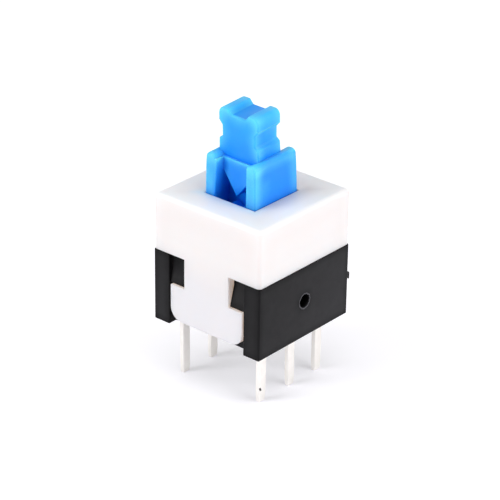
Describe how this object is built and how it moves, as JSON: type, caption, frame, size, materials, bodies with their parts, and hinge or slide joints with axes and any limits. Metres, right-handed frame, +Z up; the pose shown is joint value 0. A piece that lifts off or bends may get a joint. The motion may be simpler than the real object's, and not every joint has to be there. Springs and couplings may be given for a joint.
{
  "type": "latching push button switch",
  "caption": "Small square board-mount latching push switch: white cover snapped over a black base, blue plunger with a cap-holding head, flat tinned pins below.",
  "frame": {"origin": "centre of the base's underside, on the face that sits on the circuit board", "axes": "+Z up through the plunger, +Y towards the rear tongue, the two pin rows run along Y at -X and +X"},
  "size_m": [0.0082, 0.0084, 0.0172],
  "materials": {
    "white_plastic": "satin moulded plastic, slightly translucent",
    "black_plastic": "satin moulded plastic",
    "blue_plastic": "soft gloss moulded plastic",
    "spring_steel": "bright drawn wire and strip",
    "contact_brass": "bright rolled strip",
    "tinned_brass": "dull tin plating on stamped strip"
  },
  "bodies": {
    "case": {"cover": "white_plastic", "base": "black_plastic", "return_spring": "spring_steel", "leaf_spring": "spring_steel", "terminal_left_front": "tinned_brass", "terminal_left_common": "tinned_brass", "terminal_left_rear": "tinned_brass", "terminal_right_front": "tinned_brass", "terminal_right_common": "tinned_brass", "terminal_right_rear": "tinned_brass"},
    "plunger": {"plunger": "blue_plastic", "moving_contact_left": "contact_brass", "moving_contact_right": "contact_brass"},
    "latch_pin": {"latch_pin": "spring_steel"}
  },
  "joints": [
    {"name": "plunger_press", "type": "slide", "parent": "case", "child": "plunger", "axis": [0, 0, -1], "range_m": [0, 0.0023], "stiffness_N_per_m": 400, "springref_m": -0.0009, "deforming": ["return_spring"]},
    {"name": "latch_swing", "type": "hinge", "parent": "case", "child": "latch_pin", "pos_m": [0, -0.0016, 0.0012], "axis": [0, 1, 0], "range_deg": [0, 20.65]}
  ]
}
